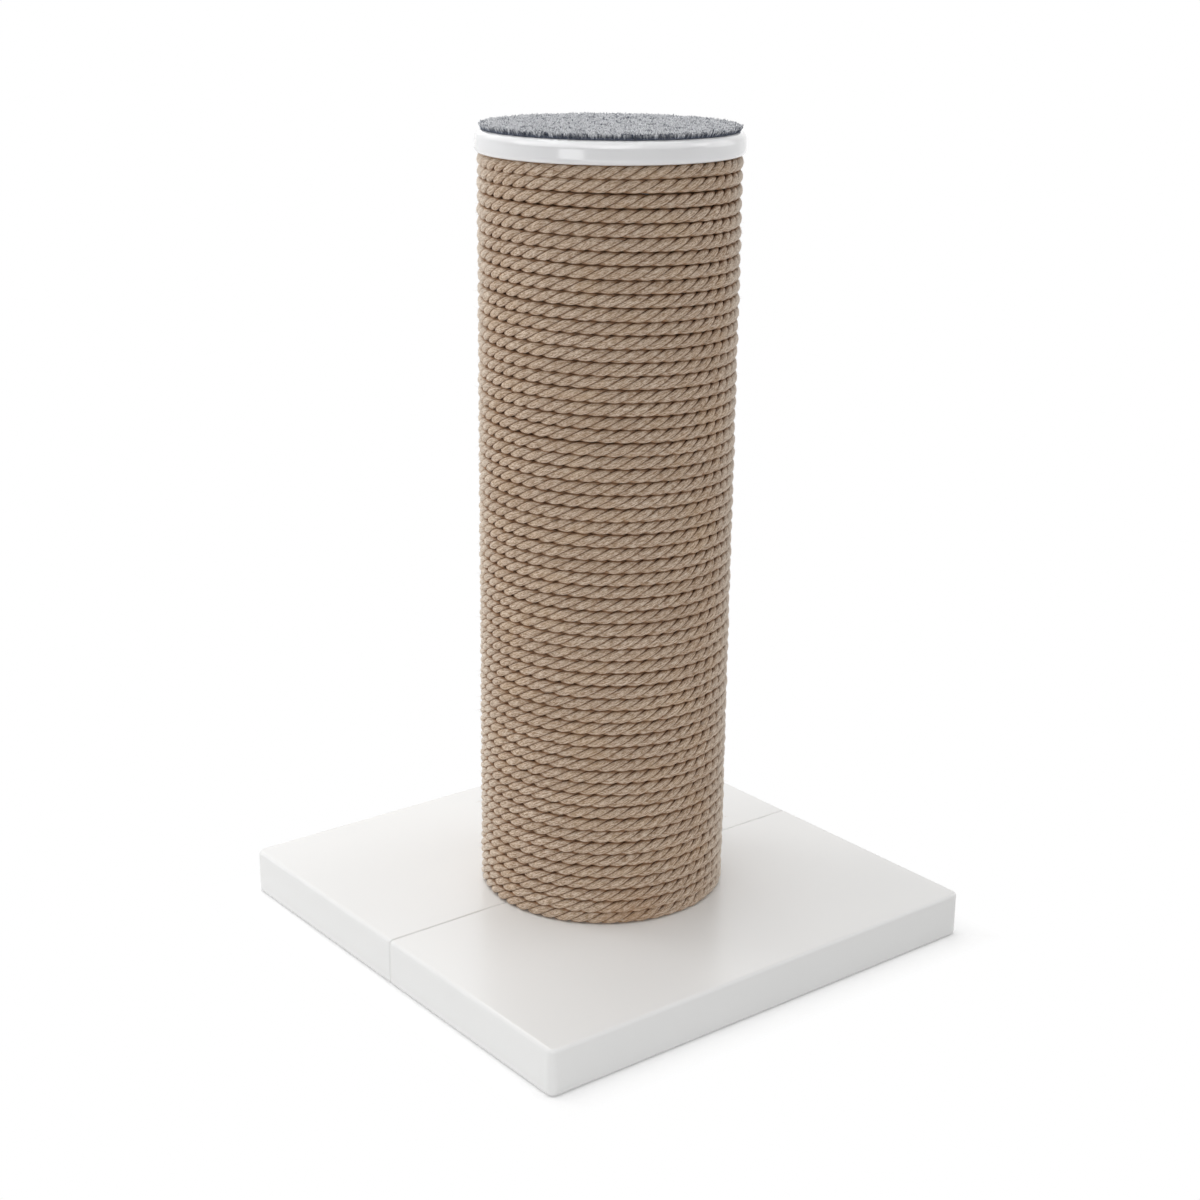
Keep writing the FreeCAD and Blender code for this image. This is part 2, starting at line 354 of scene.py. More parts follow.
@dataclass
class Effects:
    """The shader node groups that several finishes share, each built once."""

    cloud_scale: float = 5.0
    gloss_scale: float = 9.0
    fine_stretch: Triple = (2.3, 3.1, 1.7)
    ring_stretch: Triple = (0.15, 1.0, 1.0)
    pore_stretch: Triple = (60.0, 900.0, 900.0)
    ring_share: float = 0.7
    pore_share: float = 0.3

    def __post_init__(self) -> None:
        """Build every group."""
        self.paint_film = self._paint_film()
        self.fibre_streaks = self._fibre_streaks()
        self.wood_figure = self._wood_figure()

    @staticmethod
    def _open(name: str, inputs: Sequence[Port], outputs: Sequence[Port]) -> GroupParts:
        """Start a group.

        Args:
            name: The group's name.
            inputs: Its inputs.
            outputs: Its outputs.

        Returns:
            The group's graph, with what it is given and what it results in.
        """
        tree = bpy.data.node_groups.new(name, "ShaderNodeTree")
        for ports, way in ((inputs, "INPUT"), (outputs, "OUTPUT")):
            for port in ports:
                tree.interface.new_socket(port.name, in_out=way, socket_type=f"NodeSocket{port.kind}")
        given = tree.nodes.new("NodeGroupInput").outputs
        return GroupParts(Graph(tree), given, tree.nodes.new("NodeGroupOutput").inputs)

    def _paint_film(self) -> bpy.types.NodeTree:
        """Build the sprayed paint film: a faint cloud of colour, slightly uneven gloss and orange peel.

        Returns:
            The group.
        """
        parts = self._open(
            "paint_film",
            (Port("Place", "Vector"), Port("Colour", "Color"), Port("Shade", "Color"),
             Port("Smooth"), Port("Rough"), Port("Peel Scale")),
            (Port("Colour", "Color"), Port("Roughness"), Port("Height")),
        )
        graph, given = parts.graph, parts.given
        place = given["Place"]
        cloud = graph.noise(place, self.cloud_scale)
        gloss = graph.noise(place, self.gloss_scale)
        return parts.finish({
            "Colour": graph.blend(cloud, given["Colour"], given["Shade"]),
            "Roughness": graph.spread(gloss, 0.0, 1.0, given["Smooth"], given["Rough"]),
            "Height": graph.noise(place, given["Peel Scale"], detail=1.0),
        })

    def _fibre_streaks(self) -> bpy.types.NodeTree:
        """Build paler and darker streaks of fibre, longest along the axis where their place is scaled least.

        Returns:
            The group.
        """
        parts = self._open(
            "fibre_streaks",
            (Port("Place", "Vector"), Port("Dark", "Color"), Port("Middle", "Color"),
             Port("Light", "Color"), Port("Contrast")),
            (Port("Colour", "Color"), Port("Height")),
        )
        graph, given = parts.graph, parts.given
        place = given["Place"]
        broad = graph.noise(place, 1.0, detail=3.0, roughness=0.6)
        fine = graph.noise(graph.scale(place, self.fine_stretch), 1.0, detail=4.0, roughness=0.65)
        both = graph.weigh(broad, 0.5, fine, 0.5)
        centred = graph.math("MULTIPLY", graph.math("SUBTRACT", both, 0.5), given["Contrast"])
        dark = graph.spread(centred, -0.5, 0.0, 1.0, 0.0)
        light = graph.spread(centred, 0.0, 0.5)
        tint = graph.blend(light, given["Middle"], given["Light"])
        return parts.finish({"Colour": graph.blend(dark, tint, given["Dark"]), "Height": fine})

    def _wood_figure(self) -> bpy.types.NodeTree:
        """Build growth rings and pores that run along the first axis of their place.

        Returns:
            The group.
        """
        parts = self._open(
            "wood_figure",
            (Port("Place", "Vector"), Port("Early", "Color"), Port("Late", "Color"), Port("Ring Scale")),
            (Port("Colour", "Color"), Port("Height")),
        )
        graph, given = parts.graph, parts.given
        place = given["Place"]
        waves = graph.add(
            "TexWave",
            {"Vector": graph.scale(place, self.ring_stretch), "Scale": given["Ring Scale"],
             "Distortion": 3.0, "Detail": 3.0},
            wave_type="RINGS",
        ).outputs[1]
        pores = graph.noise(graph.scale(place, self.pore_stretch), 1.0)
        share = graph.weigh(waves, self.ring_share, pores, self.pore_share)
        return parts.finish({"Colour": graph.blend(share, given["Early"], given["Late"]), "Height": pores})


@dataclass(frozen=True)
class Surface:
    """What a finish feeds into its shader. The colour and roughness are plain values or outputs."""

    colour: object
    roughness: object
    height: Socket
    relief: float
    depth: float


def open_material(name: str) -> Graph:
    """Start a material.

    Args:
        name: The material's name.

    Returns:
        The graph of its empty node tree.
    """
    material = bpy.data.materials.new(name)
    material.use_nodes = True
    material.node_tree.nodes.clear()
    return Graph(material.node_tree)


def close_material(graph: Graph, name: str, surface: Surface, **fixed: object) -> Material:
    """Add the shader to a material.

    Args:
        graph: The material's graph.
        name: The material's name.
        surface: The colour, roughness and relief.
        fixed: Values that are the same all over, by the shader's input with underscores for spaces.

    Returns:
        The finished material.
    """
    bump = graph.add("Bump", {
        "Strength": surface.relief, "Distance": surface.depth, "Height": surface.height,
    })
    shader = graph.add("BsdfPrincipled", {
        "Base Color": surface.colour, "Roughness": surface.roughness, "Normal": bump.outputs[0],
    })
    for key, value in fixed.items():
        shader.inputs[key.replace("_", " ")].default_value = value
    graph.add("OutputMaterial", {"Surface": shader.outputs[0]})
    return bpy.data.materials[name]


@dataclass(frozen=True)
class PaintFinish:
    """Sprayed white paint."""

    name: str
    colour: Colour
    shade: Colour
    smooth: float
    rough: float
    peel_scale: float
    relief: float
    coat: float
    coat_roughness: float = 0.12
    depth: float = 0.0004

    def make(self, effects: Effects) -> Material:
        """Build the material.

        Args:
            effects: The shared effects.

        Returns:
            The material.
        """
        graph = open_material(self.name)
        film = graph.group(effects.paint_film, {
            "Place": graph.place(), "Colour": self.colour, "Shade": self.shade,
            "Smooth": self.smooth, "Rough": self.rough, "Peel Scale": self.peel_scale,
        })
        surface = Surface(film["Colour"], film["Roughness"], film["Height"], self.relief, self.depth)
        return close_material(
            graph, self.name, surface, Coat_Weight=self.coat, Coat_Roughness=self.coat_roughness
        )


@dataclass(frozen=True)
class RopeFinish:
    """Natural three-strand fibre rope, with stray flecks, a stained foot, painted shade in its grooves and a
    painted sheen on its edges.
    """

    name: str = "natural_rope"
    dark: Colour = srgb(160, 131, 104)
    middle: Colour = srgb(208, 184, 161)
    light: Colour = srgb(239, 223, 205)
    streak_scales: Triple = (230.0, 30.0, 1.0)
    contrast: float = 7.5
    tone_scales: Triple = (9.0, 0.0, 0.0)
    tone_range: Range = (0.3, 0.7)
    tone_share: float = 0.35
    straw: Colour = srgb(208, 176, 138)
    straw_scale: float = 40.0
    straw_range: Range = (0.5, 0.75)
    straw_share: float = 0.25
    stain: Colour = srgb(178, 134, 92)
    stain_middle: Triple = (-0.039, -0.087, 0.041)
    stain_reach: Range = (0.004, 0.034)
    stain_scale: float = 90.0
    stain_share: float = 0.7
    fleck: Colour = srgb(122, 70, 40)
    fleck_scales: Triple = (160.0, 5.0, 1.0)
    fleck_range: Range = (0.76, 0.8)
    fleck_share: float = 0.7
    # Painted shade: the grooves between the strands are darkened in the colour, where shade falls.
    groove_shade: Colour = srgb(122, 87, 58)
    groove_shade_reach: Range = (0.0, 0.42)
    groove_shade_share: float = 0.85
    # Painted shade in the gaps between the rows, where they press together.
    gap_shade: Colour = srgb(166, 123, 86)
    gap_shade_reach: Range = (0.46, 0.67)
    gap_shade_share: float = 0.72
    # Painted shade, nearly black, in the holes where the strand grooves meet the row gaps.
    hole_shade: Colour = srgb(40, 24, 14)
    outer_face: Range = (0.45, 0.85)
    # Painted sheen: a pale colour mixed in on the crests where the post turns edge-on, standing in for the
    # glow of loose fibre.
    painted_sheen: Colour = srgb(246, 240, 230)
    painted_sheen_crest: Range = (0.25, 0.7)
    painted_sheen_angles: Range = (0.5, 0.9)
    painted_sheen_share: float = 0.5
    fuzz: Colour = srgb(255, 226, 192)
    fuzz_weight: float = 0.15
    fuzz_roughness: float = 0.4
    roughness: float = 0.9
    relief: float = 0.9
    depth: float = 0.0007

    def make(self, effects: Effects) -> Material:
        """Build the material.

        Args:
            effects: The shared effects.

        Returns:
            The material.
        """
        graph = open_material(self.name)
        run = graph.add("UVMap", uv_map="lay").outputs[0]
        place = graph.place()
        streaks = graph.group(effects.fibre_streaks, {
            "Place": graph.scale(run, self.streak_scales),
            "Dark": self.dark, "Middle": self.middle, "Light": self.light, "Contrast": self.contrast,
        })
        colour = self._weather(graph, run, place, streaks["Colour"])
        # Painted shade in the grooves and gaps, then a painted sheen on the edges.
        colour = self._paint_groove_shade(graph, colour)
        colour = self._paint_edge_sheen(graph, place, colour)
        surface = Surface(colour, self.roughness, streaks["Height"], self.relief, self.depth)
        return close_material(
            graph, self.name, surface,
            Sheen_Weight=self.fuzz_weight, Sheen_Roughness=self.fuzz_roughness, Sheen_Tint=self.fuzz,
        )

    def _weather(self, graph: Graph, run: Socket, place: Socket, colour: Socket) -> Socket:
        """Vary the colour along the rope, and add straw tones, the stain at the foot and flecks of bark.

        Args:
            graph: The material's graph.
            run: The place along and round the rope.
            place: The place in the object's frame.
            colour: The fibres' colour.

        Returns:
            The varied colour.
        """
        tone = graph.noise(graph.scale(run, self.tone_scales), 1.0, detail=3.0)
        darker = graph.spread(tone, *self.tone_range, 0.0, self.tone_share)
        colour = graph.blend(darker, colour, self.dark)
        straw = graph.spread(graph.noise(place, self.straw_scale), *self.straw_range, 0.0, self.straw_share)
        colour = graph.blend(straw, colour, self.straw)
        distance = graph.add("VectorMath", {0: place, 1: self.stain_middle}, operation="DISTANCE")
        near = graph.spread(distance.outputs["Value"], *self.stain_reach, 1.0, 0.0)
        patch = graph.math("MULTIPLY", near, graph.noise(place, self.stain_scale, detail=3.0))
        colour = graph.blend(graph.math("MULTIPLY", patch, self.stain_share), colour, self.stain)
        grain = graph.noise(graph.scale(run, self.fleck_scales), 1.0, detail=1.0)
        flecks = graph.spread(grain, *self.fleck_range, 0.0, self.fleck_share)
        return graph.blend(flecks, colour, self.fleck)

    def _paint_groove_shade(self, graph: Graph, colour: Socket) -> Socket:
        """Paint shade into the grooves between strands, the gaps between rows and the holes where both meet.

        Args:
            graph: The material's graph.
            colour: The colour on the strands.

        Returns:
            The darkened colour.
        """
        face = graph.attribute("face")
        between_strands_shade = graph.spread(graph.attribute("crest"), *self.groove_shade_reach, self.groove_shade_share, 0.0)
        colour = graph.blend(between_strands_shade, colour, self.groove_shade)
        colour = graph.blend(graph.spread(face, *self.gap_shade_reach, self.gap_shade_share, 0.0), colour, self.gap_shade)
        inner = graph.spread(face, *self.outer_face, 1.0, 0.0)
        return graph.blend(graph.math("MULTIPLY", between_strands_shade, inner), colour, self.hole_shade)

    def _paint_edge_sheen(self, graph: Graph, place: Socket, colour: Socket) -> Socket:
        """Paint a pale sheen into the colour, on the crests where the post turns edge-on.

        Args:
            graph: The material's graph.
            place: The place in the object's frame.
            colour: The colour without it.

        Returns:
            The colour with the sheen.
        """
        flat = graph.scale(place, (1.0, 1.0, 0.0))
        outward = graph.add("VectorMath", {0: flat}, operation="NORMALIZE").outputs[0]
        edge_on = graph.add("LayerWeight", {"Blend": 0.5, "Normal": outward}).outputs["Facing"]
        outer = graph.spread(graph.attribute("face"), *self.outer_face)
        tops = graph.math("MULTIPLY", outer, graph.spread(graph.attribute("crest"), *self.painted_sheen_crest))
        painted_glow = graph.spread(edge_on, *self.painted_sheen_angles, 0.0, self.painted_sheen_share)
        return graph.blend(graph.math("MULTIPLY", painted_glow, tops), colour, self.painted_sheen)


@dataclass(frozen=True)
class PileFinish:
    """Cut carpet pile, with painted shade dark at the root and salt-and-pepper tips."""

    name: str = "slate_pile"
    # Painted shade: the root colours darken each tuft towards its foot; the dark one is also the streaks'
    # darkest fleck.
    dark_fleck_and_root_shade: Colour = srgb(46, 52, 68)
    light_root_shade: Colour = srgb(128, 136, 150)
    dark_tip: Colour = srgb(68, 76, 90)
    light_tip: Colour = srgb(223, 224, 227)
    grain_scales: Triple = (900.0, 900.0, 300.0)
    contrast: float = 1.6
    tip_start: Range = (0.2, 0.75)
    roughness: float = 0.95
    relief: float = 0.3
    depth: float = 0.0003
    specular: float = 0.2
    sheen_weight: float = 0.2
    sheen_roughness: float = 0.5

    def make(self, effects: Effects) -> Material:
        """Build the material.

        Args:
            effects: The shared effects.

        Returns:
            The material.
        """
        graph = open_material(self.name)
        tone = graph.attribute("tone")
        tip = graph.blend(tone, self.dark_tip, self.light_tip)
        root = graph.blend(tone, self.dark_fleck_and_root_shade, self.light_root_shade)
        streaks = graph.group(effects.fibre_streaks, {
            "Place": graph.scale(graph.place(), self.grain_scales),
            "Dark": self.dark_fleck_and_root_shade, "Middle": tip, "Light": self.light_tip, "Contrast": self.contrast,
        })
        # Painted shade takes over towards each tuft's foot.
        rise = graph.spread(graph.attribute("rise"), *self.tip_start)
        colour = graph.blend(rise, root, streaks["Colour"])
        surface = Surface(colour, self.roughness, streaks["Height"], self.relief, self.depth)
        return close_material(
            graph, self.name, surface, Specular_IOR_Level=self.specular,
            Sheen_Weight=self.sheen_weight, Sheen_Roughness=self.sheen_roughness,
        )


@dataclass(frozen=True)
class FleckFinish:
    """Pressed or woven fibre, such as felt, carpet backing or paperboard."""

    name: str
    dark: Colour
    middle: Colour
    light: Colour
    scales: Triple
    contrast: float
    roughness: float
    relief: float = 0.5
    depth: float = 0.0004

    def make(self, effects: Effects) -> Material:
        """Build the material.

        Args:
            effects: The shared effects.

        Returns:
            The material.
        """
        graph = open_material(self.name)
        streaks = graph.group(effects.fibre_streaks, {
            "Place": graph.scale(graph.place(), self.scales),
            "Dark": self.dark, "Middle": self.middle, "Light": self.light, "Contrast": self.contrast,
        })
        surface = Surface(streaks["Colour"], self.roughness, streaks["Height"], self.relief, self.depth)
        return close_material(graph, self.name, surface)


@dataclass(frozen=True)
class WoodFinish:
    """Bare wood inside the post and base."""

    name: str
    early: Colour
    late: Colour
    ring_scale: float
    roughness: float = 0.6
    relief: float = 0.3
    depth: float = 0.0003

    def make(self, effects: Effects) -> Material:
        """Build the material.

        Args:
            effects: The shared effects.

        Returns:
            The material.
        """
        graph = open_material(self.name)
        figure = graph.group(effects.wood_figure, {
            "Place": graph.place(), "Early": self.early, "Late": self.late, "Ring Scale": self.ring_scale,
        })
        surface = Surface(figure["Colour"], self.roughness, figure["Height"], self.relief, self.depth)
        return close_material(graph, self.name, surface)


@dataclass(frozen=True)
class ZincFinish:
    """Zinc-plated steel, with fine tool marks."""

    name: str = "zinc_plate"
    bright: Colour = srgb(196, 198, 196)
    dull: Colour = srgb(160, 164, 160)
    mark_scales: Triple = (400.0, 400.0, 3000.0)
    mark_range: Range = (0.3, 0.7)
    roughness: Range = (0.25, 0.42)
    relief: float = 0.2
    depth: float = 0.0001

    def make(self) -> Material:
        """Build the material, which shares no effect.

        Returns:
            The material.
        """
        graph = open_material(self.name)
        marks = graph.noise(graph.scale(graph.place(), self.mark_scales), 1.0)
        colour = graph.blend(graph.spread(marks, *self.mark_range), self.bright, self.dull)
        roughness = graph.spread(marks, *self.mark_range, *self.roughness)
        surface = Surface(colour, roughness, marks, self.relief, self.depth)
        return close_material(graph, self.name, surface, Metallic=1.0)


@dataclass
class Base:
    """The two painted boards with their dowels and pads, all kept from the CAD."""

    boards: tuple[str, ...] = ("base_board_front", "base_board_rear")
    dowels: str = "base_dowels"
    pads: str = "floor_pads"
    paint: PaintFinish = PaintFinish(
        "satin_white", colour=srgb(240, 240, 239), shade=srgb(238, 238, 237),
        smooth=0.32, rough=0.36, peel_scale=700.0, relief=0.03, coat=0.1,
    )
    beech: WoodFinish = WoodFinish(
        "beech_dowel", early=srgb(214, 178, 138), late=srgb(184, 144, 104), ring_scale=70.0,
    )
    felt: FleckFinish = FleckFinish(
        "felt_pad", dark=srgb(92, 90, 88), middle=srgb(140, 138, 134), light=srgb(182, 180, 176),
        scales=(700.0, 700.0, 900.0), contrast=3.0, roughness=0.95,
    )

    def dress(self, effects: Effects) -> None:
        """Give each node its finish.

        Args:
            effects: The shared effects.
        """
        dress_nodes(self.boards, self.paint.make(effects))
        dress_nodes((self.dowels,), self.beech.make(effects))
        dress_nodes((self.pads,), self.felt.make(effects))


@dataclass
class Post:
    """The paperboard tube with its plugs and all the screws, kept from the CAD."""

    tube: str = "post_tube"
    plugs: tuple[str, ...] = ("lower_plug", "upper_plug")
    screws: tuple[str, ...] = ("base_screws", "disc_screws", "lower_plug_screws", "upper_plug_screws")
    paperboard: FleckFinish = FleckFinish(
        "paperboard_tube", dark=srgb(150, 118, 82), middle=srgb(176, 146, 108), light=srgb(198, 170, 132),
        scales=(90.0, 90.0, 500.0), contrast=2.5, roughness=0.85,
    )
    plywood: WoodFinish = WoodFinish(
        "plywood_plug", early=srgb(222, 190, 146), late=srgb(196, 158, 112), ring_scale=40.0,
    )
    zinc: ZincFinish = ZincFinish()

    def dress(self, effects: Effects) -> None:
        """Give each node its finish.

        Args:
            effects: The shared effects.
        """
        dress_nodes((self.tube,), self.paperboard.make(effects))
        dress_nodes(self.plugs, self.plywood.make(effects))
        dress_nodes(self.screws, self.zinc.make())


@dataclass(frozen=True)
class Wander:
    """How a measure wanders along the rope: its seed, the distance between knots and the most it adds."""

    seed: int
    spacing: float
    amount: float


class Drift:
    """A smooth random curve along a run, with a knot to spare before its start."""

    def __init__(self, wander: Wander, length: float, number: int = 0) -> None:
        """Draw the curve's knots.

        Args:
            wander: The curve's seed, spacing and amount.
            length: The length of the run that it covers.
            number: Which one it is of several curves that share a wander.
        """
        self.wander = wander
        rng = np.random.default_rng(wander.seed + number)
        self.knots = rng.uniform(-1, 1, int(length / wander.spacing) + 4)

    def at(self, run: np.ndarray) -> np.ndarray:
        """Read the curve.

        Args:
            run: Places along the run.

        Returns:
            The curve's value at each place.
        """
        steps = run / self.wander.spacing + 1
        index = np.clip(np.floor(steps).astype(int), 0, len(self.knots) - 2)
        share = ease(steps - index, 0, 1)
        return self.wander.amount * (self.knots[index] * (1 - share) + self.knots[index + 1] * share)


@dataclass
class RopePath:
    """The middle line of one length of rope: its points, directions and place along the whole winding."""

    points: np.ndarray
    along: np.ndarray
    upward: np.ndarray
    run: np.ndarray

    def outward(self) -> np.ndarray:
        """Work out the direction away from the post at each point."""
        return unit(np.cross(self.upward, self.along))

    @staticmethod
    def _join(own: np.ndarray, added: np.ndarray, after: bool) -> np.ndarray:
        """Put the rows of an end after a path's own rows, or turned round before them."""
        return np.concatenate((own, added) if after else (added[::-1], own))

    def extend(self, tail: np.ndarray, after: bool) -> "RopePath":
        """Join a tucked end.

        Args:
            tail: The end's points, from the path outwards.
            after: Whether it follows the last point or leads up to the first.

        Returns:
            The path with the end.
        """
        edge = -1 if after else 0
        points = self._join(self.points, tail, after)
        ways = unit(np.gradient(points, axis=0))
        ways = ways[-len(tail):] if after else ways[:len(tail)][::-1]
        reach = np.cumsum(np.linalg.norm(np.diff(np.vstack((self.points[edge], tail)), axis=0), axis=1))
        sides = np.repeat(self.upward[edge][None], len(tail), axis=0)
        return RopePath(
            points,
            self._join(self.along, ways, after),
            self._join(self.upward, sides, after),
            self._join(self.run, self.run[edge] + (reach if after else -reach), after),
        )


@dataclass
class RopeWinding:
    """Three-strand rope wound left-handed round the post, in three lengths that butt at the back."""

    nodes: tuple[str, ...] = ("rope_lower", "rope_middle", "rope_upper")
    diameter: float = 0.0112
    outer_radius: float = 0.096
    tube_radius: float = 0.0866
    rows: int = 59
    front_angle: float = math.radians(-130)
    end_turn: float = 115 / 360
    butt_turns: tuple[float, ...] = (19.5, 39.5)
    tuck_radius: float = 0.012
    tuck_length: float = 0.009
    tuck_steps: int = 12
    straight_steps: int = 4
    lay_length: float = 0.0362
    lay: Hand = Hand.LEFT
    winding: Hand = Hand.LEFT
    strands: int = 3
    groove_depth: float = 0.43
    lobe_power: float = 2.6
    press_start: float = 0.8
    press_limit: float = 1.03
    rings_per_turn: int = 224
    small_turn: float = 1e-4
    lobe_angles: tuple[float, ...] = (-60.0, -50.0, -32.0, -11.0, 11.0, 32.0, 50.0)
    # Rows, and how far each keeps level at the front: 1 lies flat there, and less than 0 climbs faster
    level_rows: tuple[float, ...] = (0, 1.5, 7, 12.5, 18, 23.5, 29, 34.5, 40, 45.5, 51, 54, 56, 57, 58)
    level_shares: tuple[float, ...] = (
        0.95, 0.7, 0.3, 0.13, 0.08, 0.04, -0.06, -0.28, -0.56, -0.76, -0.64, -0.28, 0.15, 0.6, 0.85
    )
    phase_shift: float = 0.1
    end_hold: float = 0.28
    end_climb: float = 0.16
    end_fade: int = 3
    fibre_lean: float = 0.5
    level_wander: Wander = Wander(seed=11, spacing=0.13, amount=0.00022)
    radius_wander: Wander = Wander(seed=12, spacing=0.09, amount=0.00025)
    twist_wander: Wander = Wander(seed=13, spacing=0.3, amount=0.7)
    plump_wander: Wander = Wander(seed=20, spacing=0.045, amount=0.045)

    def __post_init__(self) -> None:
        """Take the levels from the CAD, and draw the rope's unevenness."""
        self.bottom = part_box("base_board_front")[1].z
        self.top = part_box("perch_disc")[0].z
        self.pitch = (self.top - self.bottom) / self.rows
        self.path_radius = self.outer_radius - self.diameter / 2
        self.around = FULL_TURN * self.path_radius
        self.first_turn = -self.end_turn
        self.last_turn = self.rows - 1 + self.end_turn
        length = (self.rows + 1) * self.around
        self.level_drift = Drift(self.level_wander, length)
        self.radius_drift = Drift(self.radius_wander, length)
        self.twist_drift = Drift(self.twist_wander, length)
        self.plump_drifts = [Drift(self.plump_wander, length, strand) for strand in range(self.strands)]

    def sway(self, turn: np.ndarray) -> np.ndarray:
        """Work out the rows climbed, with the slopes that the front of the post shows.

        Args:
            turn: Turns counted from the front of the lowest row.

        Returns:
            The rows climbed at each turn.
        """
        share = np.interp(turn, self.level_rows, self.level_shares)
        shifted = turn - np.interp(turn, (0, self.rows - 1), (-self.phase_shift, self.phase_shift))
        return turn - share * np.sin(FULL_TURN * shifted) / FULL_TURN

    def climb(self, turn: np.ndarray) -> np.ndarray:
        """Close the rows up behind the post, where they pass the rope's two ends.

        Args:
            turn: Turns counted from the front of the lowest row.

        Returns:
            The rows climbed at each turn.
        """
        last = self.rows - 2
        row = np.clip(np.floor(turn), 0, last)
        part = turn - row
        hold, leave, meet = self.end_hold, self.end_turn, self.end_turn + self.end_climb
        start = self.sway(last + np.minimum(part, hold))
        upper = start + (last + 1 - start) * ease(part, leave, meet) - self.sway(last + part)
        upper *= ease(1 - part, hold - self.end_climb, hold)
        finish = self.sway(np.maximum(part, 1 - hold))
        lower = finish * ease(part, 1 - meet, 1 - leave) - self.sway(part)
        lower *= ease(part, hold - self.end_climb, hold)
        share = row / last
        return self.sway(turn) + share ** self.end_fade * upper + (1 - share) ** self.end_fade * lower

    def centre(self, turn: np.ndarray) -> np.ndarray:
        """Work out points of the middle line.

        Args:
            turn: Turns counted from the front of the lowest row.

        Returns:
            One point per turn value.
        """
        run = (turn + 1) * self.around
        floor = self.bottom + self.pitch / 2
        level = floor + self.pitch * self.climb(turn) + self.level_drift.at(run)
        level = np.clip(level, floor, self.top - self.pitch / 2)
        radius = self.path_radius + self.radius_drift.at(run)
        angle = self.front_angle + self.winding.value * FULL_TURN * turn
        return np.stack((radius * np.cos(angle), radius * np.sin(angle), level), axis=-1)

    def heading(self, turn: np.ndarray) -> np.ndarray:
        """Work out the direction of the middle line at each turn value."""
        return unit(self.centre(turn + self.small_turn) - self.centre(turn - self.small_turn))

    def tuck(self, start: np.ndarray, way: np.ndarray) -> np.ndarray:
        """Bend a rope end into the post.

        Args:
            start: Where the end leaves the winding.
            way: The way it leaves.

        Returns:
            The points after the start.
        """
        inward = unit(np.array((-start[0], -start[1], 0.0)))
        bend = np.linspace(0, math.pi / 2, self.tuck_steps + 1)[1:, None]
        curve = start + self.tuck_radius * (np.sin(bend) * way + (1 - np.cos(bend)) * inward)
        straight = np.linspace(0, self.tuck_length, self.straight_steps + 1)[1:, None]
        return np.concatenate((curve, curve[-1] + inward * straight))

    def path(self, index: int) -> RopePath:
        """Lay out one length of the rope.

        Args:
            index: Which length, from the base up.

        Returns:
            Its middle line.
        """
        stops = (self.first_turn, *self.butt_turns, self.last_turn)
        count = round((stops[index + 1] - stops[index]) * self.rings_per_turn)
        turns = np.linspace(stops[index], stops[index + 1], count + 1)
        points = self.centre(turns)
        along = self.heading(turns)
        upward = unit(np.cross(along, unit(points * (1, 1, 0))))
        path = RopePath(points, along, upward, (turns + 1) * self.around)
        if index == 0:
            path = path.extend(self.tuck(points[0], -along[0]), after=False)
        if index == len(self.nodes) - 1:
            path = path.extend(self.tuck(points[-1], along[-1]), after=True)
        return path

    def lobe_radii(self) -> np.ndarray:
        """Work out how far the strand's outline lies from the rope's axis at each lobe angle."""
        share = np.abs(self.lobe_angles) / np.max(np.abs(self.lobe_angles))
        return self.diameter / 2 * (1 - self.groove_depth * share ** self.lobe_power)

    def press(self, rise: np.ndarray) -> np.ndarray:
        """Flatten the rope softly where it lies on the rows above and below.

        Args:
            rise: Heights above the rope's middle line.

        Returns:
            The heights after pressing.
        """
        share = np.abs(rise) / (self.pitch / 2)
        room = self.press_limit - self.press_start
        soft = self.press_start + room * np.tanh((share - self.press_start) / room)
        return np.sign(rise) * np.where(share > self.press_start, soft, share) * self.pitch / 2

    def build_length(self, index: int, material: Material) -> None:
        """Build one length of rope with its twisted strands.

        Args:
            index: Which length, from the base up.
            material: The rope's material.
        """
        path = self.path(index)
        per_lobe = len(self.lobe_angles)
        columns = self.strands * per_lobe
        lobe = np.tile(np.radians(self.lobe_angles), self.strands)
        lobe += np.repeat(np.arange(self.strands), per_lobe) * FULL_TURN / self.strands
        twist = self.lay.value * FULL_TURN * path.run / self.lay_length
        twist = (twist + self.twist_drift.at(path.run))[:, None]
        angle = twist + lobe
        plump = np.stack([drift.at(path.run) for drift in self.plump_drifts], axis=1)
        outline = np.tile(self.lobe_radii(), self.strands)
        radii = outline * (1 + np.repeat(plump, per_lobe, axis=1))
        depth = np.maximum(radii * np.cos(angle), self.tube_radius - self.path_radius)
        rise = self.press(radii * np.sin(angle))
        across = depth[..., None] * path.outward()[:, None] + rise[..., None] * path.upward[:, None]
        points = (path.points[:, None] + across).reshape(-1, 3)
        points[:, 2] = np.clip(points[:, 2], self.bottom, self.top)
        rings = len(path.points)
        ring, column = np.meshgrid(np.arange(rings - 1), np.arange(columns), indexing="ij")
        following = (column + 1) % columns
        corners = ((ring, column), (ring, following), (ring + 1, following), (ring + 1, column))
        sides = np.stack([row * columns + place for row, place in corners], axis=-1).reshape(-1, 4)
        caps = np.stack((np.arange(columns)[::-1], (rings - 1) * columns + np.arange(columns)))
        name = f"{self.nodes[index]}_strands"
        mesh = new_mesh(name, points, (sides, caps))
        self._map_lay(mesh, path.run, angle - self.fibre_lean * twist)
        # crest and face tell the material where to paint groove shade, row-gap shade and the edge sheen.
        crest = (outline - outline.min()) / (outline.max() - outline.min())
        set_point_values(mesh, "crest", np.tile(crest, rings))
        set_point_values(mesh, "face", np.cos(angle))
        self._crease_grooves(mesh, columns, per_lobe)
        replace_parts(add_piece(name, mesh, material), self.nodes[index])

